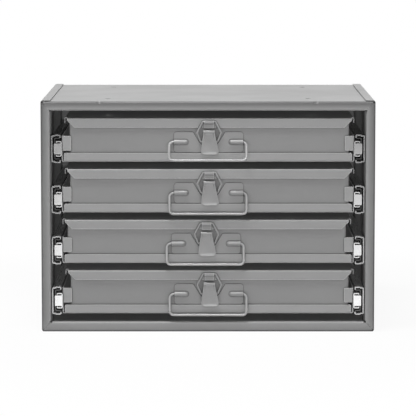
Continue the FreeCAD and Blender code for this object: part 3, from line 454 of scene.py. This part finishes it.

# Nodes whose finish differs from the rest of their slot: the wires and the latch plate shine in their own
# way; the bail's wire is also lighter, a painted highlight, the lids are lighter, painted light, the uprights
# are dull and dark, painted shade, the channels that run between the others are dark, painted shade, and the
# tabbed inner ones are the brightest, painted light
OWN_FINISHES = {
    # Lighter enamel than the latch's, a painted highlight
    "handle_bail": enamel("bail_enamel", WIRE_GREY, roughness=0.26, edge_highlight=0.12,
                          edge_radius=0.4 * MM, coat=0.7),
    "latch_loop": enamel("loop_enamel", LATCH_GREY, roughness=0.26, edge_highlight=0.12,
                         edge_radius=0.3 * MM, coat=0.7),
    "latch_plate": enamel("plate_enamel", PLATE_GREY, roughness=0.34, edge_highlight=0.12,
                          edge_radius=0.6 * MM, coat=0.5),
    # Lighter enamel than the boxes', painted light
    "box_lid": enamel("lid_enamel", LID_GREY, edge_highlight=0.22, edge_radius=1.4 * MM),
    # Darker enamel, painted shade of the rack's shadowed inside
    "slide_uprights": enamel("upright_enamel", UPRIGHT_GREY),
    # Dark zinc, painted shade of the channels that run between the others
    "slide_middle_members": zinc_plate("greased_zinc", PAINTED_SHADE_GREY, roughness=0.42),
    # Brightest zinc, painted light
    "slide_inner_members": zinc_plate("inner_slide_zinc", TAB_GREY, roughness=0.34),
    "slide_outer_members": zinc_plate("outer_slide_zinc", ZINC_GREY, edge_highlight=0.3, metallic=0.4,
                                      crevice_shade=0.6),
}


def finish_of(node, material_slot):
    """A node's own finish, by its name without the level, or that of its material slot."""
    return OWN_FINISHES.get(node.rstrip("_1234"), FINISHES[material_slot])


def dress_nodes():
    """Every CAD node gets its finish."""
    for row in frame["record"]["subparts"]:
        for slot in frame["nodes"][row["node"]].material_slots:
            slot.material = finish_of(row["node"], row["material_slot"])


dress_nodes()


# Hand-made hardware of the latch and the handle, each in the place of its plain node

def start_piece(name, add, stretch=(1.0, 1.0, 1.0), **settings):
    """New primitive, alone in the selection and ready in edit mode."""
    bpy.ops.object.select_all(action="DESELECT")
    add(**settings)
    piece = bpy.context.object
    piece.name = name
    piece.scale = stretch
    bpy.ops.object.transform_apply(location=True, rotation=True, scale=True)
    bpy.ops.object.mode_set(mode="EDIT")
    return piece


def end_edit():
    """Merge doubles, turn the faces outwards and leave edit mode."""
    bpy.ops.mesh.select_mode(type="VERT")
    bpy.ops.mesh.select_all(action="SELECT")
    bpy.ops.mesh.remove_doubles(threshold=0.001 * MM)
    bpy.ops.mesh.normals_make_consistent(inside=False)
    bpy.ops.object.mode_set(mode="OBJECT")


def pick(piece, kind, wanted):
    """Select the vertices, edges or faces whose middle passes a test, and nothing else."""
    bpy.ops.mesh.select_mode(type=kind)
    bpy.ops.mesh.select_all(action="DESELECT")
    mesh = bmesh.from_edit_mesh(piece.data)
    if kind == "VERT":
        for vertex in mesh.verts:
            vertex.select_set(wanted(vertex.co))
    elif kind == "EDGE":
        for edge in mesh.edges:
            edge.select_set(wanted((edge.verts[0].co + edge.verts[1].co) / 2))
    else:
        for face in mesh.faces:
            face.select_set(wanted(face.calc_center_median()))
    mesh.select_flush_mode()
    bmesh.update_edit_mesh(piece.data)


def modified(piece, kind, **settings):
    """Add a modifier and apply it."""
    modifier = piece.modifiers.new(kind.lower(), kind)
    for label, value in settings.items():
        setattr(modifier, label, value)
    bpy.ops.object.modifier_apply(modifier=modifier.name)


def smoothed():
    """Smooth shading of the piece in hand, but for its sharp edges."""
    bpy.ops.object.shade_smooth_by_angle(angle=math.radians(40.0))


def joined(piece, others):
    """Make several meshes one piece."""
    bpy.ops.object.select_all(action="DESELECT")
    for other in others:
        other.select_set(True)
    piece.select_set(True)
    bpy.context.view_layer.objects.active = piece
    bpy.ops.object.join()


def joint_place(name):
    """A joint's place at rest."""
    return Vector(joints[name]["pos_m"])


def bent_wire(name, points, radius, bends):
    """Round wire: a disc drawn along each straight run and spun round each bend of a flat path."""
    across = (points[1] - points[0]).normalized().to_track_quat("Z", "Y").to_euler()
    piece = start_piece(name, bpy.ops.mesh.primitive_circle_add, vertices=WIRE_SIDES, radius=radius,
                        fill_type="NGON", location=points[0], rotation=across)
    bpy.ops.mesh.select_mode(type="FACE")
    here = points[0]
    for corner, following, bend in zip(points[1:-1], points[2:], bends):
        before = (corner - here).normalized()
        after = (following - corner).normalized()
        turn = before.angle(after)
        reach = bend * math.tan(turn / 2)
        bend_start = corner - before * reach
        bpy.ops.mesh.extrude_region_move(TRANSFORM_OT_translate={"value": bend_start - here})
        axis = before.cross(after).normalized()
        centre = bend_start + axis.cross(before) * bend
        bpy.ops.mesh.spin(steps=BEND_STEPS, angle=-turn, center=centre, axis=axis)
        here = corner + after * reach
    bpy.ops.mesh.extrude_region_move(TRANSFORM_OT_translate={"value": points[-1] - here})
    end_edit()
    smoothed()
    return piece


def both_ways(half, middle):
    """Points of the right half of a path and their mirror images, from the right end to the left."""
    right = [Vector((middle + x, y, z)) for x, y, z in half]
    return right + [Vector((middle - x, y, z)) for x, y, z in reversed(half)]


def bail_angle(level):
    """How far a bail is swung out from hanging straight down, from its node's box."""
    low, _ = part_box(f"handle_bail_{level}")
    axis = joint_place(f"bail_turn_{level}")
    return math.atan2(axis.y - low[1] - BAIL_RADIUS, axis.z - low[2] - BAIL_RADIUS)


def wire_bail():
    """Handle of one wire, with its ends turned into the plate's tunnels, on the top level."""
    low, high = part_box("handle_bail_1")
    axis = joint_place("bail_turn_1")
    half = (high[0] - low[0]) / 2 - BAIL_RADIUS
    half_path = [(BAIL_END, axis.y, axis.z), (half, axis.y, axis.z),
                 (half, low[1] + BAIL_RADIUS, low[2] + BAIL_RADIUS)]
    bends = [BAIL_TOP_BEND, BAIL_BOTTOM_BEND, BAIL_BOTTOM_BEND, BAIL_TOP_BEND]
    return bent_wire("wire_bail_1", both_ways(half_path, (low[0] + high[0]) / 2), BAIL_RADIUS, bends)


def bent_loop():
    """Six-sided wire loop that pulls the keeper down, on the top level."""
    low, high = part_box("latch_loop_1")
    eye = joint_place("latch_loop_turn_1")
    bar = Vector((eye.x, low[1] + LOOP_RADIUS, high[2] - LOOP_RADIUS))
    shoulder = eye.lerp(bar, SHOULDER_RISE / (bar.z - eye.z))
    half_path = [(LOOP_END, eye.y, eye.z), (LOOP_FOOT, eye.y, eye.z),
                 (LOOP_SHOULDER, shoulder.y, shoulder.z), (LOOP_TOP, bar.y, bar.z)]
    return bent_wire("bent_loop_1", both_ways(half_path, eye.x), LOOP_RADIUS, [LOOP_BEND] * 6)


def lever_rib(name, side):
    """Rib behind one edge of the lever: a disc at the pivot, drawn down to the loop's eye."""
    pivot = joint_place("latch_lever_turn_1")
    eye = joint_place("latch_loop_turn_1")
    outer = pivot.x + side * LEVER_TOP_WIDTH / 2
    rib = start_piece(name, bpy.ops.mesh.primitive_circle_add, vertices=28, radius=BARREL_RADIUS,
                      fill_type="NGON", location=(outer, pivot.y, pivot.z), rotation=(0, math.pi / 2, 0))
    pick(rib, "VERT", lambda place: place.z < pivot.z - PIN_RADIUS / 2)
    bpy.ops.transform.translate(value=(0, eye.y - pivot.y, eye.z - pivot.z))
    bpy.ops.transform.resize(value=(1, RIB_EYE_SHARE, RIB_EYE_SHARE),
                             center_override=(outer, eye.y, eye.z))
    pick(rib, "VERT", lambda place: place.z < pivot.z and place.y < eye.y - BARREL_RADIUS / 2)
    bpy.ops.transform.translate(value=(0, -LEVER_SHEET / 2, 0))
    pick(rib, "FACE", lambda place: True)
    bpy.ops.mesh.extrude_region_move(TRANSFORM_OT_translate={"value": (-side * RIB_SHEET, 0, 0)})
    end_edit()
    return rib


def lever_pin():
    """Pin that the lever turns on."""
    pivot = joint_place("latch_lever_turn_1")
    end = Vector((pivot.x - LEVER_TOP_WIDTH / 2, pivot.y, pivot.z))
    pin = start_piece("lever_pin", bpy.ops.mesh.primitive_circle_add, vertices=20, radius=PIN_RADIUS,
                      fill_type="NGON", location=end, rotation=(0, math.pi / 2, 0))
    bpy.ops.mesh.select_mode(type="FACE")
    bpy.ops.mesh.extrude_region_move(TRANSFORM_OT_translate={"value": (LEVER_TOP_WIDTH, 0, 0)})
    end_edit()
    return pin


def pressed_lever():
    """Tapered lever of sheet with a raised rim, rolled round its pin at the top, on the top level."""
    low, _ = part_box("latch_lever_1")
    pivot = joint_place("latch_lever_turn_1")
    front = pivot.y - BARREL_RADIUS + BARREL_PROUD
    top = pivot.z - math.sqrt(BARREL_RADIUS ** 2 - (pivot.y - front) ** 2)
    bottom = low[2]
    lever = start_piece("pressed_lever_1", bpy.ops.mesh.primitive_plane_add, size=1.0,
                        stretch=(LEVER_TOP_WIDTH, top - bottom, 1.0),
                        location=(pivot.x, front, (top + bottom) / 2), rotation=(math.pi / 2, 0, 0))
    pick(lever, "VERT", lambda place: place.z < bottom + LEVER_CORNER)
    bpy.ops.transform.resize(value=(LEVER_BOTTOM_WIDTH / LEVER_TOP_WIDTH, 1, 1),
                             center_override=(pivot.x, front, bottom))
    bpy.ops.transform.translate(value=(LEVER_LEAN, 0, 0))
    bpy.ops.mesh.bevel(offset=LEVER_CORNER, affect="VERTICES", segments=9)
    pick(lever, "FACE", lambda place: True)
    bpy.ops.mesh.inset(thickness=LEVER_RIM)
    bpy.ops.mesh.inset(thickness=LEVER_SLOPE)
    bpy.ops.transform.translate(value=(0, LEVER_DISH, 0))
    pick(lever, "EDGE", lambda place: place.z > top - LEVER_RIM / 4)
    bpy.ops.mesh.spin(steps=12, angle=math.radians(BARREL_TURN), center=pivot, axis=(1, 0, 0))
    end_edit()
    front_face = min(lever.data.polygons, key=lambda face: face.center.z)
    if front_face.normal.y > 0:
        lever.data.flip_normals()
    modified(lever, "SOLIDIFY", thickness=LEVER_SHEET, offset=-1.0)
    joined(lever, [lever_rib("left_rib", -1), lever_rib("right_rib", 1), lever_pin()])
    modified(lever, "BEVEL", width=LEVER_SHEET / 5, segments=2, limit_method="ANGLE",
             angle_limit=math.radians(50))
    smoothed()
    return lever


def on_level(pattern, level, move):
    """The pattern itself on the top level, or a copy with its own mesh on another."""
    if level == 1:
        return pattern
    copy = pattern.copy()
    copy.data = pattern.data.copy()
    copy.name = pattern.name[:-1] + str(level)
    copy.data.transform(move)
    bpy.context.scene.collection.objects.link(copy)
    return copy


def place_hardware(pattern, node, body, joint, turn=None):
    """A finished pattern on every level, riding on its body and standing for its node."""
    pattern.data.materials.clear()
    pattern.data.materials.append(finish_of(node, "latch_paint"))
    first = joint_place(f"{joint}_1")
    for level in LEVELS:
        move = Matrix.Translation(joint_place(f"{joint}_{level}"))
        if turn:
            move = move @ Matrix.Rotation(turn(1) - turn(level), 4, "X")
        piece = on_level(pattern, level, move @ Matrix.Translation(-first))
        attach(piece, f"{body}_{level}")
        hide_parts(f"{node}_{level}")


place_hardware(wire_bail(), "handle_bail", "bail", "bail_turn", turn=bail_angle)
place_hardware(bent_loop(), "latch_loop", "loop", "latch_loop_turn")
place_hardware(pressed_lever(), "latch_lever", "lever", "latch_lever_turn")


# Stage, light and camera

def add_to_scene(name, data):
    """New object for a lamp or camera."""
    made = bpy.data.objects.new(name, data)
    bpy.context.scene.collection.objects.link(made)
    return made


def aimed(made, place, target):
    """Put a lamp or camera at a place, pointing at another."""
    made.location = place
    made.rotation_euler = (Vector(target) - Vector(place)).to_track_quat("-Z", "Y").to_euler()


def bright_ray(tree):
    """1 for what the camera sees by itself, in a gloss or through glass."""
    path = tree.nodes.new("ShaderNodeLightPath")
    total = math_node(tree, "ADD", path.outputs["Is Camera Ray"], path.outputs["Is Glossy Ray"])
    return math_node(tree, "ADD", total, path.outputs["Is Transmission Ray"], clamp=True)


def make_floor():
    """Pale floor that keeps a soft shadow, and is full white away from the rack."""
    bpy.ops.mesh.primitive_plane_add(size=12.0, location=(0, 0, -0.4 * MM))
    floor = bpy.context.object
    floor.name = "floor"
    material = bpy.data.materials.new("floor_white")
    material.use_nodes = True
    tree = material.node_tree
    tree.nodes.clear()
    output = tree.nodes.new("ShaderNodeOutputMaterial")
    paint = tree.nodes.new("ShaderNodeBsdfDiffuse")
    paint.inputs["Color"].default_value = (FLOOR_PAINT, FLOOR_PAINT, FLOOR_PAINT, 1)
    glow = tree.nodes.new("ShaderNodeEmission")
    glow.inputs["Strength"].default_value = 1.0
    away = tree.nodes.new("ShaderNodeVectorMath")
    away.operation = "LENGTH"
    tree.links.new(object_place(tree), away.inputs[0])
    whiteness = ranged(tree, away.outputs["Value"], WHITE_START, WHITE_END, FLOOR_GLOW, 1.0)
    mix = tree.nodes.new("ShaderNodeMixShader")
    tree.links.new(math_node(tree, "MULTIPLY", bright_ray(tree), whiteness), mix.inputs["Fac"])
    tree.links.new(paint.outputs[0], mix.inputs[1])
    tree.links.new(glow.outputs[0], mix.inputs[2])
    tree.links.new(mix.outputs[0], output.inputs["Surface"])
    floor.data.materials.append(material)


def make_world():
    """White surroundings, which light the object only a little."""
    world = bpy.data.worlds.new("studio")
    bpy.context.scene.world = world
    world.use_nodes = True
    tree = world.node_tree
    backdrop = tree.nodes["Background"]
    backdrop.inputs["Color"].default_value = (1, 1, 1, 1)
    strength = ranged(tree, bright_ray(tree), 0.0, 1.0, WORLD_LIGHT, 1.0, smooth=False)
    tree.links.new(strength, backdrop.inputs["Strength"])


def add_lamp(name, place, target, size, watts, shadow=True, gloss=True):
    """Square soft lamp, seen in the gloss or not."""
    data = bpy.data.lights.new(name, "AREA")
    data.shape = "SQUARE"
    data.size = size
    data.energy = watts
    data.use_shadow = shadow
    lamp = add_to_scene(name, data)
    lamp.visible_glossy = gloss
    aimed(lamp, place, target)


def make_camera():
    """Long lens at the photograph's height and distance."""
    data = bpy.data.cameras.new("camera")
    data.lens = LENS
    data.clip_start = 0.05
    data.clip_end = 60.0
    camera = add_to_scene("camera", data)
    aimed(camera, (0, FRONT_PLANE - CAMERA_DISTANCE, CAMERA_HEIGHT), (0, FRONT_PLANE, AIM_HEIGHT))
    bpy.context.scene.camera = camera


make_floor()
make_world()
add_lamp("key_above", (-0.2, -0.5, 1.9), (0, -0.05, 0.15), size=0.6, watts=29.0)
add_lamp("front_fill", (0, -3.6, 0.8), (0, 0, 0.12), size=1.2, watts=4.0)
add_lamp("left_stray", (-1.9, -1.9, 0.5), (0, 0, 0.13), size=1.0, watts=6.0, shadow=False)
add_lamp("right_stray", (1.9, -1.9, 0.5), (0, 0, 0.13), size=1.0, watts=6.0, shadow=False)
add_lamp("floor_bounce", (0, -1.6, 0.02), (0, -0.1, 0.16), size=1.2, watts=2.0)
add_lamp("front_stray", (0, -2.4, 1.2), (0, -0.05, 0.15), size=1.2, watts=12.0, shadow=False)
add_lamp("back_fill", (0.8, 2.8, 0.45), (0, 0, 0.13), size=1.2, watts=9.0, gloss=False)
make_camera()
bpy.context.scene.view_settings.view_transform = "Standard"

bpy.context.view_layer.update()
